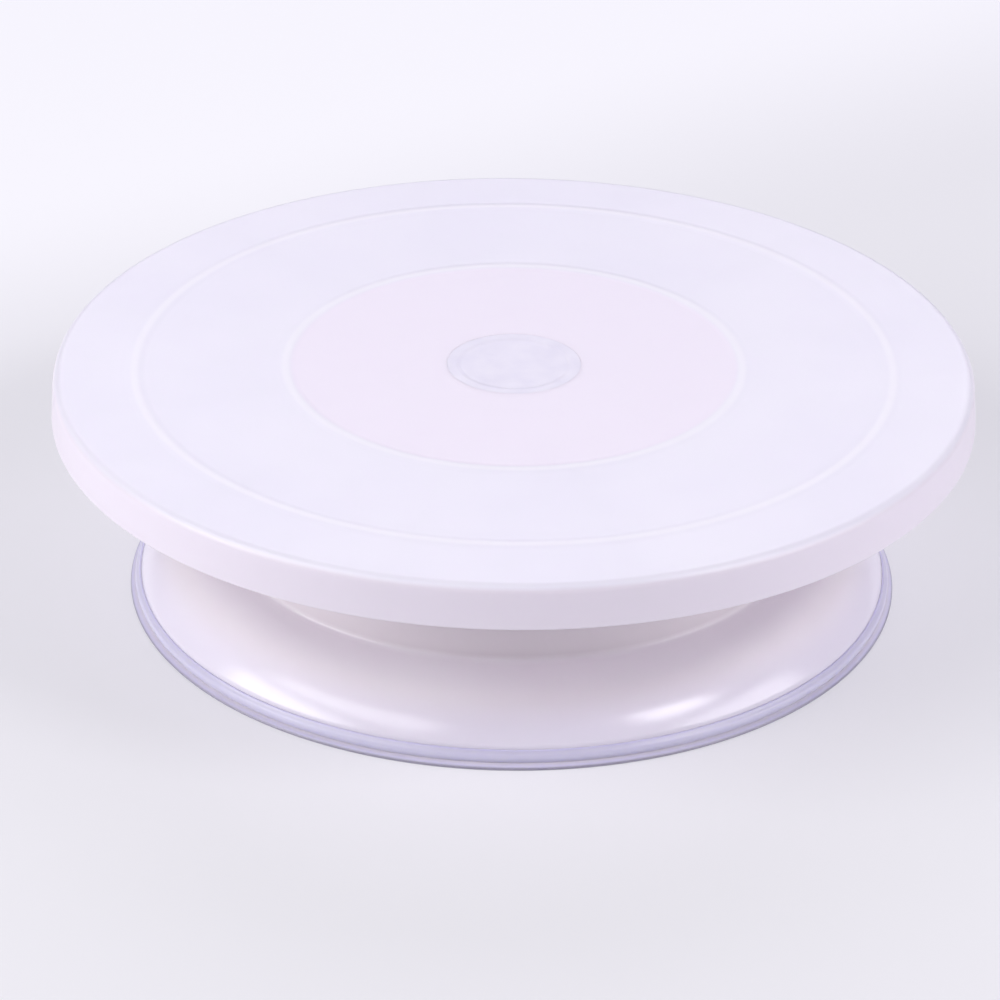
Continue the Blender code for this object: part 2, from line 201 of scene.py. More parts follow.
def bow(first, last, halfAngle, steps):  # an arc from first to last that bulges to its left
    (r0, z0), (r1, z1) = first, last
    half = math.radians(halfAngle)
    arc = []
    for i in range(steps + 1):
        swing = half * (2 * i / steps - 1)
        along = (1 + math.sin(swing) / math.sin(half)) / 2
        lift = (math.cos(swing) - math.cos(half)) / math.sin(half) / 2
        arc.append((r0 + (r1 - r0) * along - (z1 - z0) * lift, z0 + (z1 - z0) * along + (r1 - r0) * lift))
    return arc


def circleArc(centre, radius, start, end, steps):  # angles in degrees, from +r towards +z
    angles = [math.radians(start + (end - start) * i / steps) for i in range(steps + 1)]
    return [(centre[0] + radius * math.cos(a), centre[1] + radius * math.sin(a)) for a in angles]


def settle(piece, body, slot, material, *nodes):  # rides and stands for CAD nodes
    piece.data.materials.clear()
    piece.data.materials.append(material)
    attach(piece, body)
    if nodes:
        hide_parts(*nodes)


plateLow, plateHigh = sizeOf("turntable_plate")
capLow, capHigh = sizeOf("center_cap")
upperLow, upperHigh = sizeOf("upper_race")
lowerLow, lowerHigh = sizeOf("lower_race")
cageLow, cageHigh = sizeOf("ball_cage")
spindleLow, spindleHigh = sizeOf("spindle")
washerLow, washerHigh = sizeOf("spindle_washer")
nutLow, nutHigh = sizeOf("spindle_nut")
bushLow, bushHigh = sizeOf("spindle_bush")
baseLow, baseHigh = sizeOf("base_shell")
ringHigh = sizeOf("anti_slip_ring")[1]
print("sizes read from the frame")

cameraPlace = {'distance': 1.26198, 'height': 0.69773, 'pitch': 28.035, 'yaw': -0.153, 'roll': 0.662,
               'lens': 167.4, 'sensor': 36.0}

cameraData = bpy.data.cameras.new("camera")
cameraData.lens = cameraPlace['lens']
cameraData.sensor_width = cameraPlace['sensor']
cameraData.clip_start = 0.05
camera = newPiece("camera", cameraData)
pitch, yaw, roll = [math.radians(cameraPlace[key]) for key in ('pitch', 'yaw', 'roll')]
camera.matrix_world = (Matrix.Translation((0, -cameraPlace['distance'], cameraPlace['height']))
                       @ Matrix.Rotation(math.pi / 2 - pitch, 4, 'X')
                       @ Matrix.Rotation(-yaw, 4, 'Y') @ Matrix.Rotation(roll, 4, 'Z'))
scene.camera = camera

studio = {
    'paper': '#B2B1B4', 'paperGlow': '#F8F7FF', 'glow': 0.41, 'glowBack': 0.14, 'glowFront': 0.025,
    'glowAcross': (-0.55, 0.85, 0), 'glowStart': 0.16, 'glowEnd': 0.34,  # metres, towards the upper left
    'frontStart': -0.16, 'frontEnd': 0.02, 'floorSize': 6.0,
    'sky': '#FBFAFF', 'skyStrength': 0.065, 'skySeen': 0.8,
    'lights': (  # name, azimuth, elevation, distance, width, height, watts, colour
        ("backSoftbox", 86, 34, 1.5, 1.6, 1.0, 10.1, '#F4F1FF'),
        ("leftStrip", 214, 47, 1.5, 1.2, 0.42, 7.2, '#FFFEFF'),
        ("rightStrip", -31, 46, 1.5, 0.5, 0.28, 5.2, '#FDFBFF'),
        ("leftSoftbox", 200, 23, 1.5, 1.0, 0.5, 10.6, '#FFFEFF'),
        ("rightSoftbox", -18, 23, 1.5, 1.0, 0.5, 8.2, '#FDFBFF'),
    ),
}


def makeFloor():  # white paper over a light table, so its shadows stay faint
    half = studio['floorSize']
    mesh = bpy.data.meshes.new("floor")
    mesh.from_pydata([(-half, -half, 0), (half, -half, 0), (half, half, 0), (-half, half, 0)], [],
                     [(0, 1, 2, 3)])
    paper, tree, place = startMaterial("studioPaper")
    across = addNode(tree, 'ShaderNodeVectorMath', {0: place, 1: studio['glowAcross']},
                     operation='DOT_PRODUCT')
    back = addNode(tree, 'ShaderNodeMapRange', {'Value': across.outputs['Value'],
                                                'From Min': studio['glowStart'],
                                                'From Max': studio['glowEnd'], 'To Min': studio['glow'],
                                                'To Max': studio['glow'] + studio['glowBack']},
                   interpolation_type='SMOOTHSTEP')
    depth = addNode(tree, 'ShaderNodeSeparateXYZ', {0: place}).outputs['Y']
    front = addNode(tree, 'ShaderNodeMapRange', {'Value': depth, 'From Min': studio['frontStart'],
                                                 'From Max': studio['frontEnd'],
                                                 'To Min': studio['glowFront'], 'To Max': 0.0},
                    interpolation_type='SMOOTHSTEP')
    glow = addNode(tree, 'ShaderNodeMath', {0: back, 1: front}, operation='ADD')
    mesh.materials.append(endMaterial(paper, tree, Base_Color=studio['paper'], Roughness=0.7,
                                      Emission_Color=studio['paperGlow'], Emission_Strength=glow))
    newPiece("floor", mesh)


makeFloor()
world = bpy.data.worlds.new("studioSky")
scene.world = world
world.use_nodes = True
sky = world.node_tree.nodes['Background']
sky.inputs['Color'].default_value = toLinear(studio['sky'])
seen = addNode(world.node_tree, 'ShaderNodeLightPath', {}).outputs['Is Camera Ray']
level = addNode(world.node_tree, 'ShaderNodeMapRange', {'Value': seen, 'To Min': studio['skyStrength'],
                                                        'To Max': studio['skySeen']})
world.node_tree.links.new(level.outputs[0], sky.inputs['Strength'])  # a pale wall that lights little
for name, azimuth, elevation, distance, width, height, watts, colour in studio['lights']:
    lightData = bpy.data.lights.new(name, 'AREA')
    lightData.shape = 'RECTANGLE'
    lightData.size = width
    lightData.size_y = height
    lightData.energy = watts
    lightData.color = toLinear(colour)[:3]
    light = newPiece(name, lightData)
    away = Matrix.Rotation(math.radians(azimuth), 4, 'Z') @ Matrix.Rotation(-math.radians(elevation), 4, 'Y')
    light.location = away @ Vector((distance, 0, 0))
    light.rotation_euler = (-light.location).to_track_quat('-Z', 'Y').to_euler()
scene.view_settings.view_transform = 'Standard'
print("camera and studio ready")

plateShape = {
    'wall': 2.6, 'crown': 2.8, 'draft': 0.9, 'skirtDepth': 13.8, 'edgeRound': 2.7, 'footRound': 0.6,
    'rings': (69.1, 114.6), 'ringWidth': 6.6, 'ringRise': 0.3, 'ringSteps': 10,
    'capBed': 20.29, 'capSeat': 2.4, 'pocket': 16.3, 'pocketDepth': 6.2, 'bore': 5.3,
    'fenceWall': 1.9, 'lipRadius': 47.75, 'lipDepth': 3.0, 'bossRadius': 24.0, 'bossDepth': 8.9,
    'ribDepth': 5.4, 'ribs': 12, 'hubRibs': 6, 'ribThickness': 1.9,
    'ribTurn': 15, 'ribDraft': 0.3, 'pinCircles': (92.0, 127.0), 'pinRadius': 2.5, 'pinRise': 0.2,
    # the side colour is painted shade for the skirt and underside
    'white': '#F1EEFC', 'cloud': '#EEEBFA', 'overNeck': '#F5ECFD', 'side': '#E7E0EC', 'crest': '#F5F2FE',
    'neckZone': (66, 69), 'crestStart': 0.3, 'crestEnd': 1.9, 'roughness': 0.36,
    'roughSpread': (-0.04, 0.05),
    'cloudSize': 55.0, 'grainSize': 0.6, 'grainDepth': 0.004, 'sinkSize': 28.0, 'sinkDepth': 0.04,
    'wipeSize': 14.0, 'wipeAngle': 0.6, 'wipeStretch': 9,
}
plateTop = plateHigh.z - plateShape['ringRise']


def makePlate():
    s = plateShape
    ceiling = plateTop - s['crown']
    foot = plateHigh.z - s['skirtDepth']
    boss = ceiling - s['bossDepth']
    upper = plateHigh.x - s['draft']
    pocket, seat = plateTop - s['pocketDepth'], plateTop - s['capSeat']
    profile = [(s['bore'], pocket, 0.3), (s['pocket'], pocket, 0.3), (s['pocket'], seat, 0.25),
               (s['capBed'], seat, 0.3), (s['capBed'], plateTop, 0.06)]
    for ring in s['rings']:  # a raised ring is one soft wave of the plate's top
        for step in range(s['ringSteps'] + 1):
            share = step / s['ringSteps']
            wave = (1 - math.cos(fullTurn * share)) / 2
            profile.append((ring + s['ringWidth'] * (share - 0.5), plateTop + s['ringRise'] * wave))
    profile += [(upper, plateTop, s['edgeRound']), (plateHigh.x, foot, s['footRound']),
                (plateHigh.x - s['wall'], foot, s['footRound']), (upper - s['wall'], ceiling, 1.6)]
    for wall, depth in ((s['rings'][1], s['ribDepth']), (s['rings'][0], ceiling - plateLow.z),
                        (s['lipRadius'], s['lipDepth'])):  # round walls, thicker at the root
        tip = ceiling - depth
        for side, z in ((0.55, ceiling), (0.45, tip), (-0.45, tip), (-0.55, ceiling)):
            profile.append((wall + side * s['fenceWall'], z, 0.5))
    profile += [(s['bossRadius'], ceiling, 0.8), (s['bossRadius'] - 0.4, boss, 0.6), (s['bore'], boss, 0.3)]
    shell = turn("plateShell", profile, steps=240)
    inside, reach, ribFoot = s['rings'][0], upper - s['wall'] / 2, ceiling - s['ribDepth']
    ribs = slabs("plateRibs", [(inside, ceiling + overrun), (reach, ceiling + overrun),
                               (reach - s['ribDraft'], ribFoot), (inside, ribFoot)],
                 s['ribThickness'], s['ribs'], turnBy=s['ribTurn'])
    hubIn = s['bossRadius'] - 2
    hub = slabs("plateHubRibs", [(hubIn, ceiling + overrun), (s['lipRadius'], ceiling + overrun),
                                 (s['lipRadius'], ceiling - s['lipDepth'] + 0.5), (hubIn, boss + 1.5)],
                s['ribThickness'], s['hubRibs'])
    pads = [pegs(f"ejectorPads{n}", circle, s['pinRadius'], ceiling - s['pinRise'], ceiling + 0.5, s['ribs'],
                 sides=24) for n, circle in enumerate(s['pinCircles'])]
    return shell, ribs, hub, *pads


def polypropyleneSatin():  # moulded PP, satin: milky with a soft gloss, and the base shows through pinker
    s = plateShape
    material, tree, place = startMaterial("polypropyleneSatin")
    flat = addNode(tree, 'ShaderNodeVectorMath', {0: place, 1: flatten}, operation='MULTIPLY')
    radius = addNode(tree, 'ShaderNodeVectorMath', {0: flat}, operation='LENGTH').outputs['Value']
    height = addNode(tree, 'ShaderNodeSeparateXYZ', {0: place}).outputs['Z']
    onTop = addNode(tree, 'ShaderNodeMapRange', {'Value': height, 'From Min': (plateHigh.z - 2) * mm,
                                                  'From Max': (plateHigh.z - 1) * mm})
    middle = addNode(tree, 'ShaderNodeMapRange', {'Value': radius, 'From Min': s['neckZone'][0] * mm,
                                                  'From Max': s['neckZone'][1] * mm, 'To Min': 1,
                                                  'To Max': 0}, interpolation_type='SMOOTHSTEP')
    overNeck = addNode(tree, 'ShaderNodeMath', {0: onTop, 1: middle}, operation='MULTIPLY')
    flow = addNode(tree, 'ShaderNodeTexNoise', {'Vector': place, 'Scale': 1 / (s['cloudSize'] * mm)})
    clouds = addNode(tree, 'ShaderNodeMapRange', {'Value': flow, 'From Min': 0.35, 'From Max': 0.65})
    body = addNode(tree, 'ShaderNodeMix', {0: clouds, 6: s['white'], 7: s['cloud']}, data_type='RGBA')
    # painted shade: everything below the top face is painted the darker, pinker side colour
    sideShaded = addNode(tree, 'ShaderNodeMix', {0: onTop, 6: s['side'], 7: body.outputs[2]}, data_type='RGBA')
    zoned = addNode(tree, 'ShaderNodeMix', {0: overNeck, 6: sideShaded.outputs[2], 7: s['overNeck']},
                    data_type='RGBA')
    crests = 0.0
    for ring in s['rings']:  # painted highlight: the raised rings' crests are painted a little brighter, as if catching the light
        off = addNode(tree, 'ShaderNodeMath', {0: radius, 1: ring * mm}, operation='SUBTRACT')
        away = addNode(tree, 'ShaderNodeMath', {0: off}, operation='ABSOLUTE')
        crest = addNode(tree, 'ShaderNodeMapRange', {'Value': away, 'From Min': s['crestStart'] * mm,
                                                     'From Max': s['crestEnd'] * mm, 'To Min': 1,
                                                     'To Max': 0}, interpolation_type='SMOOTHSTEP')
        crests = addNode(tree, 'ShaderNodeMath', {0: crests, 1: crest}, operation='MAXIMUM')
    highlightOnTop = addNode(tree, 'ShaderNodeMath', {0: crests, 1: onTop}, operation='MULTIPLY')
    colour = addNode(tree, 'ShaderNodeMix', {0: highlightOnTop, 6: zoned.outputs[2], 7: s['crest']},
                     data_type='RGBA')
    # spark-eroded grain is really 0.1 mm across and is drawn coarser so that it shows
    grain = addNode(tree, 'ShaderNodeTexNoise', {'Vector': place, 'Scale': 1 / (s['grainSize'] * mm),
                                                 'Detail': 3})
    sink = addNode(tree, 'ShaderNodeTexNoise', {'Vector': place, 'Scale': 1 / (s['sinkSize'] * mm),
                                                'Detail': 1})
    wiped = addNode(tree, 'ShaderNodeMapping', {'Vector': place, 'Rotation': (0, 0, s['wipeAngle']),
                                                'Scale': (1, s['wipeStretch'], 1)})
    wipe = addNode(tree, 'ShaderNodeTexNoise', {'Vector': wiped, 'Scale': 1 / (s['wipeSize'] * mm),
                                                'Detail': 4})
    rough = addNode(tree, 'ShaderNodeMapRange', {'Value': wipe, 'From Min': 0.3, 'From Max': 0.7,
                                                 'To Min': s['roughness'] + s['roughSpread'][0],
                                                 'To Max': s['roughness'] + s['roughSpread'][1]})
    waves = addNode(tree, 'ShaderNodeBump', {'Height': sink, 'Distance': s['sinkDepth'] * mm, 'Strength': 1})
    bumps = addNode(tree, 'ShaderNodeBump', {'Height': grain, 'Distance': s['grainDepth'] * mm,
                                             'Strength': 1, 'Normal': waves})
    return endMaterial(material, tree, Base_Color=colour.outputs[2], Roughness=rough, Normal=bumps, IOR=1.49,
                       Subsurface_Weight=0.3, Subsurface_Radius=(1.0, 0.9, 1.0), Subsurface_Scale=4 * mm)


satin = polypropyleneSatin()
plateShell, *plateInside = makePlate()
settle(plateShell, "plate", "plate_plastic", satin, "turntable_plate")
for piece in plateInside:
    settle(piece, "plate", "plate_plastic", satin)
print("plate made")

capShape = {
    'border': 2.9, 'borderStep': 1.2, 'dish': 0.3, 'sunk': 0.03, 'skirt': 16.0, 'skirtWall': 1.2,
    'under': 0.3, 'frost': '#F0ECFB', 'haze': '#EBE7F8', 'roughness': 0.42, 'roughSpread': (-0.04, 0.06),
    'hazeSize': 7.0, 'grainSize': 0.5, 'grainDepth': 0.005,
}


def makeCap():
    s = capShape
    edge, top = capHigh.x, plateTop - s['sunk']
    under = plateTop - plateShape['capSeat'] + s['under']
    border = edge - s['border']
    skirt = s['skirt'] - s['skirtWall']
    return turn("centreCap", [(0, top - s['dish']), (border - s['borderStep'], top - s['dish'], 0.4),
                              (border, top, 0.4), (edge - 0.06, top, 0.05), (edge, top - 0.08, 0.05),
                              (edge, under, 0.25), (s['skirt'], under), (s['skirt'] - 0.15, capLow.z, 0.3),
                              (skirt, capLow.z, 0.3), (skirt - 0.1, under, 0.3), (0, under)], closed=False)


def polypropyleneFrosted():  # clear PP with a frosted face: a hazy blue-grey disc, softer than the plate
    s = capShape
    material, tree, place = startMaterial("polypropyleneFrosted")
    frost = addNode(tree, 'ShaderNodeTexNoise', {'Vector': place, 'Scale': 1 / (s['hazeSize'] * mm),
                                                 'Detail': 3})
    uneven = addNode(tree, 'ShaderNodeMapRange', {'Value': frost, 'From Min': 0.3, 'From Max': 0.7})
    colour = addNode(tree, 'ShaderNodeMix', {0: uneven, 6: s['frost'], 7: s['haze']}, data_type='RGBA')
    rough = addNode(tree, 'ShaderNodeMapRange', {'Value': uneven,
                                                 'To Min': s['roughness'] + s['roughSpread'][0],
                                                 'To Max': s['roughness'] + s['roughSpread'][1]})
    grain = addNode(tree, 'ShaderNodeTexNoise', {'Vector': place, 'Scale': 1 / (s['grainSize'] * mm),
                                                 'Detail': 3})
    bumps = addNode(tree, 'ShaderNodeBump', {'Height': grain, 'Distance': s['grainDepth'] * mm,
                                             'Strength': 1})
    return endMaterial(material, tree, Base_Color=colour.outputs[2], Roughness=rough, Normal=bumps, IOR=1.49,
                       Subsurface_Weight=0.2, Subsurface_Radius=(0.9, 0.9, 1.0), Subsurface_Scale=1 * mm)


settle(makeCap(), "plate", "cap_plastic", polypropyleneFrosted(), "center_cap")
print("centre cap made")

baseShape = {
    'wall': 2.6, 'rimTop': 5.3, 'neck': 88.5, 'neckFoot': 19.8, 'corner': 0.8,
    'domeBow': 29, 'neckBow': 8, 'deckRadius': 73.0, 'shoulder': 6.0, 'lip': 1.9, 'lipRise': 3.0,
    'race': (48.7, 65.3), 'bushBore': 7.3, 'hub': 12.5, 'hubFoot': 31.0, 'ribs': 6, 'ribThickness': 1.9,
    'ribTurn': 30, 'white': '#F9F3F7', 'cloud': '#F6EFF4', 'rim': '#E9E4F1', 'rimZone': (102, 113),
    'neckShade': '#EBE3E8', 'neckShadeZone': (0.6, 1.8), 'roughness': 0.2, 'roughSpread': (-0.03, 0.06),
    'cloudSize': 40.0, 'rubSize': 3.0, 'waveSize': 18.0, 'waveDepth': 0.03, 'grainSize': 0.7,
    'grainDepth': 0.002,
}


def domeLine(inset):  # the dome, or a line as far inside its wall
    s = baseShape
    outer = bow((s['neck'] + s['corner'], s['neckFoot']), (baseHigh.x, s['rimTop']), s['domeBow'], 20)
    line = []
    for i, (r, h) in enumerate(outer):
        (ra, ha), (rb, hb) = outer[max(i - 1, 0)], outer[min(i + 1, len(outer) - 1)]
        length = math.hypot(rb - ra, hb - ha)
        line.append((r + (hb - ha) / length * inset, h - (rb - ra) / length * inset))
    return line


def makeBase():
    s = baseShape
    deck = baseHigh.z - s['lipRise']
    wall = s['wall']
    profile = [(s['bushBore'], deck, 0.3)]
    for lip in (s['race'][0] - s['lip'], s['race'][1]):
        profile += [(lip, deck, 0.3), (lip, deck + s['lipRise'], 0.3),
                    (lip + s['lip'], deck + s['lipRise'], 0.3), (lip + s['lip'], deck, 0.3)]
    shoulder = (s['deckRadius'], deck - s['shoulder'])
    neckTop = (s['deckRadius'] + s['shoulder'], deck - s['shoulder'])
    profile += circleArc(shoulder, s['shoulder'], 90, 0, 8)
    profile += bow(neckTop, (s['neck'], s['neckFoot'] + s['corner']), s['neckBow'], 8)[1:]
    profile += domeLine(0)
    inner = baseHigh.x - wall
    profile += [(baseHigh.x, baseLow.z, 0.4), (inner, baseLow.z, 0.4), (inner, s['rimTop'] - 0.8)]
    profile += reversed(domeLine(wall)[1:-1])
    profile += bow((neckTop[0] - wall, neckTop[1]), (s['neck'] - wall, s['neckFoot'] - 0.6), s['neckBow'],
                   8)[::-1]
    profile += circleArc(shoulder, s['shoulder'] - wall, 0, 90, 6)[1:]
    profile += [(s['hub'], deck - wall, 1.0), (s['hub'] - 0.5, s['hubFoot'], 0.4),
                (s['bushBore'], s['hubFoot'], 0.3)]
    shell = turn("baseShell", profile, steps=240)
    top, foot, middle = deck - wall / 2, s['hubFoot'] + 2, s['neck'] - wall / 2
    ribs = slabs("baseRibs", [(s['hub'] - 2, top), (s['deckRadius'], top),
                              (neckTop[0] - wall / 2, neckTop[1]), (middle - 1.5, foot),
                              (middle - 0.8, s['neckFoot'] + 6), (s['hub'] - 2, foot)],
                 s['ribThickness'], s['ribs'], turnBy=s['ribTurn'])
    return shell, ribs


def polypropyleneGloss():  # moulded PP from a polished tool: wet gloss over a warm white body
    s = baseShape
    material, tree, place = startMaterial("polypropyleneGloss")
    flat = addNode(tree, 'ShaderNodeVectorMath', {0: place, 1: flatten}, operation='MULTIPLY')
    radius = addNode(tree, 'ShaderNodeVectorMath', {0: flat}, operation='LENGTH').outputs['Value']
    rim = addNode(tree, 'ShaderNodeMapRange', {'Value': radius, 'From Min': s['rimZone'][0] * mm,
                                               'From Max': s['rimZone'][1] * mm},
                  interpolation_type='SMOOTHSTEP')  # painted shade, with the lavender of the ring under the thin rim: the dome is painted darker and more lavender towards its rim
    flow = addNode(tree, 'ShaderNodeTexNoise', {'Vector': place, 'Scale': 1 / (s['cloudSize'] * mm)})
    clouds = addNode(tree, 'ShaderNodeMapRange', {'Value': flow, 'From Min': 0.35, 'From Max': 0.65})
    body = addNode(tree, 'ShaderNodeMix', {0: clouds, 6: s['white'], 7: s['cloud']}, data_type='RGBA')
    rimShaded = addNode(tree, 'ShaderNodeMix', {0: rim, 6: body.outputs[2], 7: s['rim']}, data_type='RGBA')
    height = addNode(tree, 'ShaderNodeSeparateXYZ', {0: place}).outputs['Z']
    upper = addNode(tree, 'ShaderNodeMapRange', {'Value': height,
                                                 'From Min': (s['neckFoot'] + s['neckShadeZone'][0]) * mm,
                                                 'From Max': (s['neckFoot'] + s['neckShadeZone'][1]) * mm})
    colour = addNode(tree, 'ShaderNodeMix', {0: upper, 6: rimShaded.outputs[2], 7: s['neckShade']},
                     data_type='RGBA')  # painted shade: the upright neck, shaded by the plate above it, is painted darker than the dome
    rub = addNode(tree, 'ShaderNodeTexNoise', {'Vector': place, 'Scale': 1 / (s['rubSize'] * mm),
                                               'Detail': 4})
    rough = addNode(tree, 'ShaderNodeMapRange', {'Value': rub, 'From Min': 0.3, 'From Max': 0.75,
                                                 'To Min': s['roughness'] + s['roughSpread'][0],
                                                 'To Max': s['roughness'] + s['roughSpread'][1]})
    wave = addNode(tree, 'ShaderNodeTexNoise', {'Vector': place, 'Scale': 1 / (s['waveSize'] * mm),
                                                'Detail': 1})
    grain = addNode(tree, 'ShaderNodeTexNoise', {'Vector': place, 'Scale': 1 / (s['grainSize'] * mm)})
    waves = addNode(tree, 'ShaderNodeBump', {'Height': wave, 'Distance': s['waveDepth'] * mm, 'Strength': 1})
    bumps = addNode(tree, 'ShaderNodeBump', {'Height': grain, 'Distance': s['grainDepth'] * mm,
                                             'Strength': 1, 'Normal': waves})
    return endMaterial(material, tree, Base_Color=colour.outputs[2], Roughness=rough, Normal=bumps, IOR=1.5,
                       Subsurface_Weight=0.2, Subsurface_Radius=(1.0, 0.85, 0.95), Subsurface_Scale=3 * mm)


gloss = polypropyleneGloss()
baseShell, baseRibs = makeBase()
settle(baseShell, "base", "base_plastic", gloss, "base_shell")
settle(baseRibs, "base", "base_plastic", gloss)
print("base made")

ringShape = {
    'sole': 1.8, 'rimWall': 2.6, 'gap': 0.01, 'lipTop': 5.3, 'lipWidth': 0.5, 'innerLeg': 1.2,
    'innerDrop': 1.9, 'bulge': 1.75, 'bulgeDrop': 2.2, 'grooves': 3, 'soleInset': 1.8,
    # the foot colour is a painted contact shadow, and the line colour is painted shade in the groove
    'lavender': '#D3D0E5', 'deep': '#CECBE1', 'line': '#D2CDDA', 'foot': '#9C98A8', 'edge': '#CCC8EA',
    'roughness': 0.28, 'dusty': 0.12, 'hazeSize': 9.0, 'dustSize': 0.9, 'dustDepth': 0.003,
    'grooveHeight': 1.65, 'grooveInset': 2.0, 'grooveShadeBand': (0.05, 0.5), 'contactShadowHeight': (0.8, 1.3),
    'contactShadowReach': (1.2, 0.9), 'lipLine': 0.5, 'soleGroove': (1.6, 0.35, 0.6),  # spacing, depth and width
    'skirt': ((1.3, 1.45, 0.2), (0.3, 1.1, 0.25), (0, 0.6, 0.2), (0.4, 0, 0.2)),  # inset, height, rounding
}


def makeRing():
    s = ringShape
    edge = ringHigh.x
    outer, inner = baseHigh.x + s['gap'], baseHigh.x - s['rimWall'] - 2 * s['gap']
    back = inner - s['innerLeg']
    spacing, depth, width = s['soleGroove']
    innerTop = s['lipTop'] - s['innerDrop']
    profile = [(back, innerTop, 0.4), (inner, innerTop, 0.4), (inner, s['sole']), (outer, s['sole']),
               (outer, s['lipTop'], 0.1), (outer + s['lipWidth'], s['lipTop'], 0.2)]
    profile += circleArc((outer + 0.1, s['lipTop'] - s['bulgeDrop']), s['bulge'], 60, -35, 8)
    profile.append((edge - s['grooveInset'], s['grooveHeight'], 0.1))
    profile += [(edge - inset, height, rounding) for inset, height, rounding in s['skirt']]
    for n in range(s['grooves']):  # shallow grip grooves in the sole
        at = edge - s['soleInset'] - spacing * n
        profile += [(at, 0, 0.1), (at - width / 2, depth, 0.1), (at - width, 0, 0.1)]
    return turn("antiSlipRing", profile + [(back, 0, 0.4)], steps=288)


def thermoplasticRubber():  # clear TPR tinted lavender: pale on flat runs and deeper at its lip; painted shade greys its groove and a painted shadow darkens its foot
    s = ringShape
    material, tree, place = startMaterial("thermoplasticRubber")
    height = addNode(tree, 'ShaderNodeSeparateXYZ', {0: place}).outputs['Z']
    haze = addNode(tree, 'ShaderNodeTexNoise', {'Vector': place, 'Scale': 1 / (s['hazeSize'] * mm)})
    body = addNode(tree, 'ShaderNodeMix', {0: haze, 6: s['lavender'], 7: s['deep']}, data_type='RGBA')
    # painted shade: a greyer line is painted along the groove
    off = addNode(tree, 'ShaderNodeMath', {0: height, 1: s['grooveHeight'] * mm}, operation='SUBTRACT')
    away = addNode(tree, 'ShaderNodeMath', {0: off}, operation='ABSOLUTE')
    groove = addNode(tree, 'ShaderNodeMapRange', {'Value': away, 'From Min': s['grooveShadeBand'][0] * mm,
                                                  'From Max': s['grooveShadeBand'][1] * mm, 'To Min': 1,
                                                  'To Max': 0}, interpolation_type='SMOOTHSTEP')
    # painted shadow: a dark contact line is painted low on the ring's outer edge, where it meets the floor
    low = addNode(tree, 'ShaderNodeMapRange', {'Value': height, 'From Min': s['contactShadowHeight'][0] * mm,
                                               'From Max': s['contactShadowHeight'][1] * mm, 'To Min': 1, 'To Max': 0},
                  interpolation_type='SMOOTHSTEP')
    flat = addNode(tree, 'ShaderNodeVectorMath', {0: place, 1: flatten}, operation='MULTIPLY')
    radius = addNode(tree, 'ShaderNodeVectorMath', {0: flat}, operation='LENGTH').outputs['Value']
    outside = addNode(tree, 'ShaderNodeMapRange', {'Value': radius,
                                                   'From Min': (ringHigh.x - s['contactShadowReach'][0]) * mm,
                                                   'From Max': (ringHigh.x - s['contactShadowReach'][1]) * mm})
    foot = addNode(tree, 'ShaderNodeMath', {0: low, 1: outside}, operation='MULTIPLY')
    grooveShaded = addNode(tree, 'ShaderNodeMix', {0: groove, 6: body.outputs[2], 7: s['line']}, data_type='RGBA')
    contactShadowed = addNode(tree, 'ShaderNodeMix', {0: foot, 6: grooveShaded.outputs[2], 7: s['foot']}, data_type='RGBA')
    lip = addNode(tree, 'ShaderNodeMapRange', {'Value': height,
                                               'From Min': (s['lipTop'] - s['lipLine']) * mm,
                                               'From Max': s['lipTop'] * mm},
                  interpolation_type='SMOOTHSTEP')
    colour = addNode(tree, 'ShaderNodeMix', {0: lip, 6: contactShadowed.outputs[2], 7: s['edge']}, data_type='RGBA')
    dust = addNode(tree, 'ShaderNodeTexNoise', {'Vector': place, 'Scale': 1 / (s['dustSize'] * mm),
                                                'Detail': 3})  # fine dust that clings to soft rubber
    rough = addNode(tree, 'ShaderNodeMapRange', {'Value': dust, 'From Min': 0.35, 'From Max': 0.75,
                                                 'To Min': s['roughness'],
                                                 'To Max': s['roughness'] + s['dusty']})
    bumps = addNode(tree, 'ShaderNodeBump', {'Height': dust, 'Distance': s['dustDepth'] * mm,
                                             'Strength': 1})
    return endMaterial(material, tree, Base_Color=colour.outputs[2], Roughness=rough, Normal=bumps, IOR=1.5,
                       Subsurface_Weight=0.7, Subsurface_Radius=(0.8, 0.8, 1.0), Subsurface_Scale=1.5 * mm)


settle(makeRing(), "base", "ring_rubber", thermoplasticRubber(), "anti_slip_ring")
print("anti-slip ring made")

bearingShape = {
    'ballRadius': 4.0, 'groove': 4.3, 'standoff': 3.0, 'circle': 57.0, 'balls': 12, 'pocket': 4.3,
    'steel': '#C8C7CB', 'steelDark': '#B4B3B9', 'ball': '#D2D2D6', 'cage': '#EFEDE4',
    'cageShade': '#E4E1D5', 'grindSize': 0.25, 'grindDepth': 0.004, 'stainSize': 9.0,
    'track': (0.8, 2.6), 'trackRough': (0.12, 0.34), 'scratchSize': 1.5, 'scratchDepth': 0.001,
    'scratchTurn': (0.4, 0.9, 0.3), 'scratchStretch': 14, 'ballRough': (0.07, 0.2), 'flowSize': 12.0,
    'nylonGrain': 0.4, 'nylonDepth': 0.006, 'nylonRough': (0.38, 0.55),
}
ballHeight = (cageLow.z + cageHigh.z) / 2


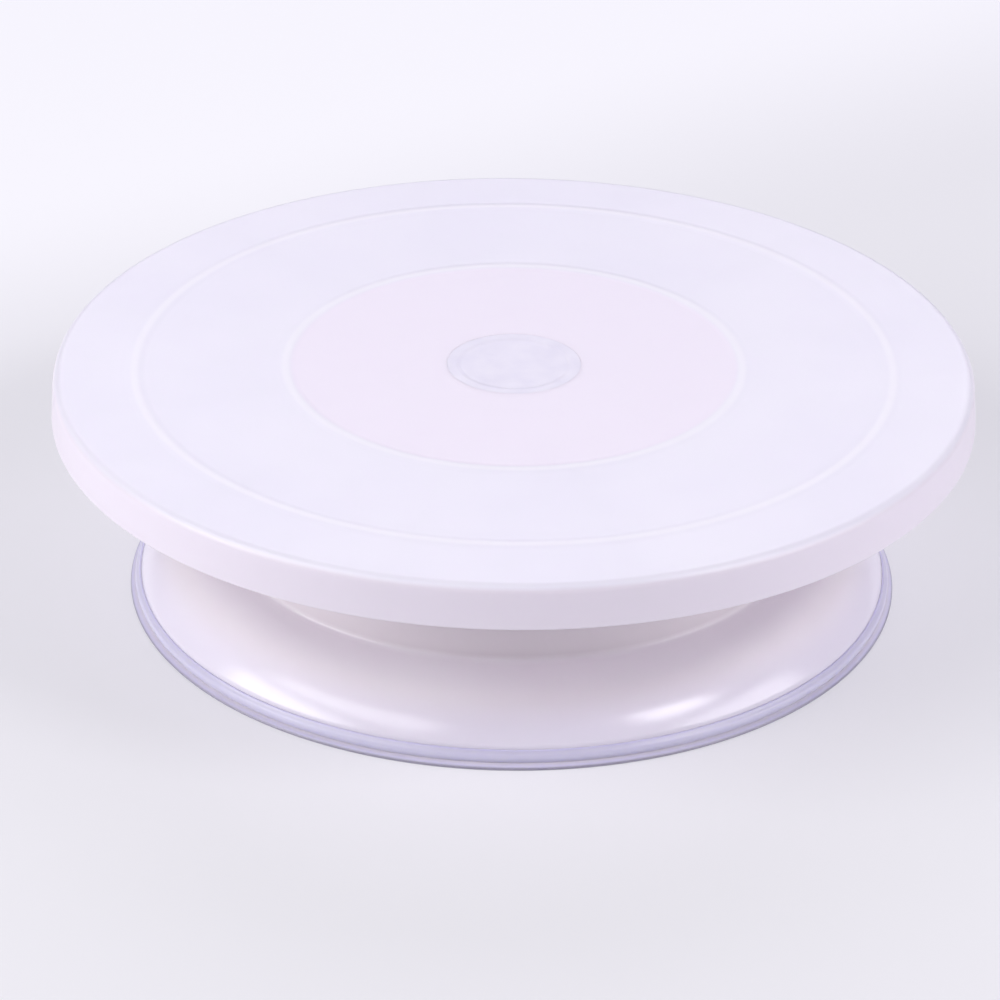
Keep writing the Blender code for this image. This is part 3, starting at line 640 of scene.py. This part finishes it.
def makeRace(name, low, high, side):  # side is -1 under the balls and +1 above them
    s = bearingShape
    face = ballHeight + side * s['standoff']
    back = low.z if side < 0 else high.z
    inner, outer = s['circle'] * 2 - high.x, high.x
    mouth = math.degrees(math.acos(s['standoff'] / s['groove']))
    groove = circleArc((s['circle'], ballHeight), s['groove'], side * 90 - mouth, side * 90 + mouth, 12)
    if side < 0:
        profile = [(inner, face, 0.3), *groove, (outer, face, 0.3), (outer, back, 0.4), (inner, back, 0.4)]
    else:
        profile = [(inner, back, 0.4), (outer, back, 0.4), (outer, face, 0.3), *groove, (inner, face, 0.3)]
    return turn(name, profile, steps=144)


def makeCage():
    s = bearingShape
    inner = s['circle'] * 2 - cageHigh.x
    cage = turn("ballCage", [(inner, cageHigh.z, 0.5), (cageHigh.x, cageHigh.z, 0.5),
                             (cageHigh.x, cageLow.z, 0.5), (inner, cageLow.z, 0.5)], steps=144)
    return carve(cage, pegs("pocketCutter", s['circle'], s['pocket'], cageLow.z - overrun,
                            cageHigh.z + overrun, s['balls']))


def makeBall(number):  # a cube cage, subdivided and cast to a sphere
    s = bearingShape
    bm = bmesh.new()
    bmesh.ops.create_cube(bm, size=s['ballRadius'] * mm)
    ball = fromBmesh(f"bearingBall{number:02d}", bm)
    addModifier(ball, 'SUBSURF', levels=3, render_levels=3)
    addModifier(ball, 'CAST', factor=1.0, use_radius_as_size=False, size=s['ballRadius'] * mm)
    angle = fullTurn * (number - 1) / s['balls']
    return putAt(ball, s['circle'] * math.cos(angle), s['circle'] * math.sin(angle), ballHeight, angle)


def rolledBearingSteel():  # ground steel strip: grey with fine lines that run round, brightest in the track
    s = bearingShape
    material, tree, place = startMaterial("rolledBearingSteel")
    flat = addNode(tree, 'ShaderNodeVectorMath', {0: place, 1: flatten}, operation='MULTIPLY')
    radius = addNode(tree, 'ShaderNodeVectorMath', {0: flat}, operation='LENGTH').outputs['Value']
    across = addNode(tree, 'ShaderNodeCombineXYZ', {'X': radius})
    lines = addNode(tree, 'ShaderNodeTexNoise', {'Vector': across, 'Scale': 1 / (s['grindSize'] * mm),
                                                 'Detail': 2})
    stain = addNode(tree, 'ShaderNodeTexNoise', {'Vector': place, 'Scale': 1 / (s['stainSize'] * mm),
                                                 'Detail': 3})
    colour = addNode(tree, 'ShaderNodeMix', {0: stain, 6: s['steel'], 7: s['steelDark']}, data_type='RGBA')
    off = addNode(tree, 'ShaderNodeMath', {0: radius, 1: s['circle'] * mm}, operation='SUBTRACT')
    away = addNode(tree, 'ShaderNodeMath', {0: off}, operation='ABSOLUTE')
    rough = addNode(tree, 'ShaderNodeMapRange', {'Value': away, 'From Min': s['track'][0] * mm,
                                                 'From Max': s['track'][1] * mm,
                                                 'To Min': s['trackRough'][0], 'To Max': s['trackRough'][1]})
    bumps = addNode(tree, 'ShaderNodeBump', {'Height': lines, 'Distance': s['grindDepth'] * mm,
                                             'Strength': 1})
    return endMaterial(material, tree, Base_Color=colour.outputs[2], Metallic=1.0, Roughness=rough,
                       Normal=bumps)


def polishedBearingSteel():  # lapped chrome steel balls: near mirrors with a few hair scratches
    s = bearingShape
    material, tree, place = startMaterial("polishedBearingSteel")
    hair = addNode(tree, 'ShaderNodeMapping', {'Vector': place, 'Rotation': s['scratchTurn'],
                                               'Scale': (1, s['scratchStretch'], 1)})
    scratch = addNode(tree, 'ShaderNodeTexNoise', {'Vector': hair, 'Scale': 1 / (s['scratchSize'] * mm),
                                                   'Detail': 4})
    tone = addNode(tree, 'ShaderNodeMapRange', {'Value': scratch, 'From Min': 0.45, 'From Max': 0.75})
    colour = addNode(tree, 'ShaderNodeMix', {0: tone, 6: s['ball'], 7: s['steel']}, data_type='RGBA')
    rough = addNode(tree, 'ShaderNodeMapRange', {'Value': tone, 'To Min': s['ballRough'][0],
                                                 'To Max': s['ballRough'][1]})
    bumps = addNode(tree, 'ShaderNodeBump', {'Height': scratch, 'Distance': s['scratchDepth'] * mm,
                                             'Strength': 1})
    return endMaterial(material, tree, Base_Color=colour.outputs[2], Metallic=1.0, Roughness=rough,
                       Normal=bumps)


def polyamideNatural():  # moulded nylon: warm off-white, waxy, with a fine tool grain
    s = bearingShape
    material, tree, place = startMaterial("polyamideNatural")
    flow = addNode(tree, 'ShaderNodeTexNoise', {'Vector': place, 'Scale': 1 / (s['flowSize'] * mm),
                                                'Detail': 3})
    colour = addNode(tree, 'ShaderNodeMix', {0: flow, 6: s['cage'], 7: s['cageShade']}, data_type='RGBA')
    grain = addNode(tree, 'ShaderNodeTexNoise', {'Vector': place, 'Scale': 1 / (s['nylonGrain'] * mm),
                                                 'Detail': 2})
    rough = addNode(tree, 'ShaderNodeMapRange', {'Value': grain, 'To Min': s['nylonRough'][0],
                                                 'To Max': s['nylonRough'][1]})
    bumps = addNode(tree, 'ShaderNodeBump', {'Height': grain, 'Distance': s['nylonDepth'] * mm,
                                             'Strength': 1})
    return endMaterial(material, tree, Base_Color=colour.outputs[2], Roughness=rough, Normal=bumps, IOR=1.53,
                       Subsurface_Weight=0.25, Subsurface_Radius=(1.0, 0.9, 0.7), Subsurface_Scale=1.5 * mm)


rolled, polished, nylon = rolledBearingSteel(), polishedBearingSteel(), polyamideNatural()
settle(makeRace("lowerRace", lowerLow, lowerHigh, -1), "base", "bearing_steel", rolled, "lower_race")
settle(makeRace("upperRace", upperLow, upperHigh, 1), "plate", "bearing_steel", rolled, "upper_race")
settle(makeCage(), "cage", "cage_plastic", nylon, "ball_cage")
for number in range(1, bearingShape['balls'] + 1):
    settle(makeBall(number), "cage", "ball_steel", polished, f"ball_{number:02d}")
print("ball bearing made")

spindleShape = {
    'flange': 15.5, 'flangeDepth': 2.2, 'shaft': 5.0, 'shoulder': 30.6, 'thread': 4.0, 'pitch': 1.25,
    'threadEnd': 0.9,
    'screws': 3, 'screwCircle': 10.0, 'screwHole': 1.8, 'screwShank': 1.5, 'screwHead': 2.9,
    'headRise': 1.0, 'crown': 0.7, 'brow': 0.45,  # shares of the head's radius and rise
    'screwLength': 7.5, 'screwPitch': 0.9, 'screwGap': 0.3, 'slot': 0.8, 'slotDepth': 0.65,
    'nutFlats': 13.0, 'chamfer': 0.8, 'collar': 2.0, 'collarRadius': 5.7, 'insert': 1.2,
    'bush': 7.0, 'bushBore': 5.3, 'bushFlange': 10.0, 'bushFlangeDepth': 1.3,
    'zinc': '#C9CCD2', 'zincDull': '#AEB2BA', 'acetal': '#F2F1EE', 'acetalShade': '#E9E8E3',
    'platingSize': 4.0, 'zincLines': 0.3, 'zincDepth': 0.004, 'zincRough': (0.28, 0.42),
    'acetalLines': 0.4, 'acetalDepth': 0.006, 'acetalRough': (0.28, 0.42),
}


def makeSpindle():
    s = spindleShape
    top, tip = spindleHigh.z, spindleLow.z
    under = top - s['flangeDepth']
    core = s['thread'] - s['pitch'] / 2
    body = turn("spindleBody", [(0, top), (s['flange'], top, 0.4), (s['flange'], under, 0.3),
                                (s['shaft'], under, 0.4), (s['shaft'], s['shoulder'], 0.3),
                                (core, s['shoulder'], 0.2), (core, tip, 0.6), (0, tip)], steps=96,
                closed=False)
    carve(body, pegs("holeCutter", s['screwCircle'], s['screwHole'], under - overrun, top + overrun,
                     s['screws']))
    return body, thread("spindleThread", s['thread'], tip + s['threadEnd'],
                        s['shoulder'] - s['threadEnd'], s['pitch'])


def makeScrew(number):
    s = spindleShape
    reach, shank, head = s['screwLength'], s['screwShank'] - s['screwPitch'] / 2, s['screwHead']
    angle = fullTurn * (number - 1) / s['screws']
    x, y = s['screwCircle'] * math.cos(angle), s['screwCircle'] * math.sin(angle)
    seat = spindleHigh.z + s['screwGap']
    screw = turn(f"hubScrew{number:02d}", [(0, s['headRise']), (head * s['crown'], s['headRise'], 0.5),
                                           (head, s['headRise'] * s['brow'], 0.4), (head, 0, 0.15),
                                           (shank, 0, 0.1), (shank, 1 - reach, 0.3), (0.3, -reach, 0.1),
                                           (0, -reach)], steps=48, closed=False)
    floor = s['headRise'] - s['slotDepth']
    slot = slabs("slotCutter", [(-4, floor), (4, floor), (4, 2), (-4, 2)], s['slot'], 1, rounding=0.05)
    carve(screw, slot)
    putAt(screw, x, y, seat, angle)
    return screw, thread(f"hubScrewThread{number:02d}", s['screwShank'], seat + 0.8 - reach, seat - 0.6,
                         s['screwPitch'], x, y)


def makeNut():  # a hexagon cut by a chamfered round, a round collar below it, and the collar's insert
    s = spindleShape
    corner = s['nutFlats'] / 2 / math.cos(math.pi / 6)
    waist = nutLow.z + s['collar']
    nut = pegs("lockNut", 0, corner, waist - 0.4, nutHigh.z, 1, sides=6)
    past, below = corner + 0.5, waist - 0.2
    chamfered = turn("chamferTool", [(0, nutHigh.z), (corner - 1.0, nutHigh.z),
                                     (past, nutHigh.z - s['chamfer']), (past, waist + 0.6),
                                     (s['collarRadius'] + 0.3, below, 0.1), (0, below)], steps=96,
                     closed=False)
    carve(nut, chamfered, 'INTERSECT')
    carve(nut, turn("collarTool", [(0, waist + overrun), (s['collarRadius'], waist + overrun),
                                   (s['collarRadius'], nutLow.z, 0.8), (0, nutLow.z)], steps=96,
                    closed=False), 'UNION')
    start, end = nutHigh.z + overrun, nutLow.z - overrun
    bore, relief = s['thread'] + 0.05, s['thread'] + 0.9
    carve(nut, turn("boreTool", [(0, start), (s['thread'] + 1.0, start), (bore, nutHigh.z - s['chamfer']),
                                 (bore, waist), (relief, below, 0.05), (relief, end), (0, end)],
                    steps=96, closed=False))
    inner, outer = s['thread'] - 0.1, s['thread'] + 0.85
    insert = turn("lockNutInsert", [(inner, waist - 0.3, 0.2), (outer, waist - 0.3, 0.1),
                                    (outer, waist - 0.3 - s['insert'], 0.1),
                                    (inner, waist - 0.3 - s['insert'], 0.2)], steps=96)
    return nut, insert


def makeWasher():
    bore = spindleShape['thread'] + 0.3
    return turn("flatWasher", [(bore, washerHigh.z, 0.2), (washerHigh.x, washerHigh.z, 0.3),
                               (washerHigh.x, washerLow.z, 0.15), (bore, washerLow.z, 0.15)], steps=96)


def makeBush():
    s = spindleShape
    seat = bushHigh.z - s['bushFlangeDepth']
    return turn("spindleBush", [(s['bushBore'], bushHigh.z, 0.4), (s['bushFlange'], bushHigh.z, 0.3),
                                (s['bushFlange'], seat, 0.2), (s['bush'], seat, 0.15),
                                (s['bush'], bushLow.z, 0.5), (s['bushBore'], bushLow.z, 0.4)], steps=96)


def zincPlatedSteel():  # clear zinc plating: cool silver, a little cloudy, worn brighter in spots
    s = spindleShape
    material, tree, place = startMaterial("zincPlatedSteel")
    cloud = addNode(tree, 'ShaderNodeTexNoise', {'Vector': place, 'Scale': 1 / (s['platingSize'] * mm),
                                                 'Detail': 5})
    tone = addNode(tree, 'ShaderNodeMapRange', {'Value': cloud, 'From Min': 0.35, 'From Max': 0.7})
    colour = addNode(tree, 'ShaderNodeMix', {0: tone, 6: s['zinc'], 7: s['zincDull']}, data_type='RGBA')
    rough = addNode(tree, 'ShaderNodeMapRange', {'Value': tone, 'To Min': s['zincRough'][0],
                                                 'To Max': s['zincRough'][1]})
    height = addNode(tree, 'ShaderNodeSeparateXYZ', {0: place}).outputs['Z']
    along = addNode(tree, 'ShaderNodeCombineXYZ', {'Z': height})  # turning lines
    lines = addNode(tree, 'ShaderNodeTexNoise', {'Vector': along, 'Scale': 1 / (s['zincLines'] * mm),
                                                 'Detail': 1})
    bumps = addNode(tree, 'ShaderNodeBump', {'Height': lines, 'Distance': s['zincDepth'] * mm,
                                             'Strength': 1})
    return endMaterial(material, tree, Base_Color=colour.outputs[2], Metallic=1.0, Roughness=rough,
                       Normal=bumps)


def acetalNatural():  # machined POM: dense white, slippery, with faint turning marks
    s = spindleShape
    material, tree, place = startMaterial("acetalNatural")
    height = addNode(tree, 'ShaderNodeSeparateXYZ', {0: place}).outputs['Z']
    along = addNode(tree, 'ShaderNodeCombineXYZ', {'Z': height})
    lines = addNode(tree, 'ShaderNodeTexNoise', {'Vector': along, 'Scale': 1 / (s['acetalLines'] * mm),
                                                 'Detail': 1})
    colour = addNode(tree, 'ShaderNodeMix', {0: lines, 6: s['acetal'], 7: s['acetalShade']},
                     data_type='RGBA')
    rough = addNode(tree, 'ShaderNodeMapRange', {'Value': lines, 'To Min': s['acetalRough'][0],
                                                 'To Max': s['acetalRough'][1]})
    bumps = addNode(tree, 'ShaderNodeBump', {'Height': lines, 'Distance': s['acetalDepth'] * mm,
                                             'Strength': 1})
    return endMaterial(material, tree, Base_Color=colour.outputs[2], Roughness=rough, Normal=bumps, IOR=1.48,
                       Subsurface_Weight=0.2, Subsurface_Radius=(1.0, 1.0, 0.9), Subsurface_Scale=1.5 * mm)


zinc = zincPlatedSteel()
spindleBody, spindleThread = makeSpindle()
settle(spindleBody, "plate", "spindle_steel", zinc, "spindle")
settle(spindleThread, "plate", "spindle_steel", zinc)
for number in range(1, spindleShape['screws'] + 1):
    screw, screwThread = makeScrew(number)
    settle(screw, "plate", "fastener_steel", zinc, f"hub_screw_{number:02d}")
    settle(screwThread, "plate", "fastener_steel", zinc)
lockNut, lockNutInsert = makeNut()
settle(lockNut, "plate", "fastener_steel", zinc, "spindle_nut")
settle(lockNutInsert, "plate", "fastener_steel", nylon)
settle(makeWasher(), "plate", "fastener_steel", zinc, "spindle_washer")
settle(makeBush(), "base", "bush_plastic", acetalNatural(), "spindle_bush")
print("spindle and its fasteners made")
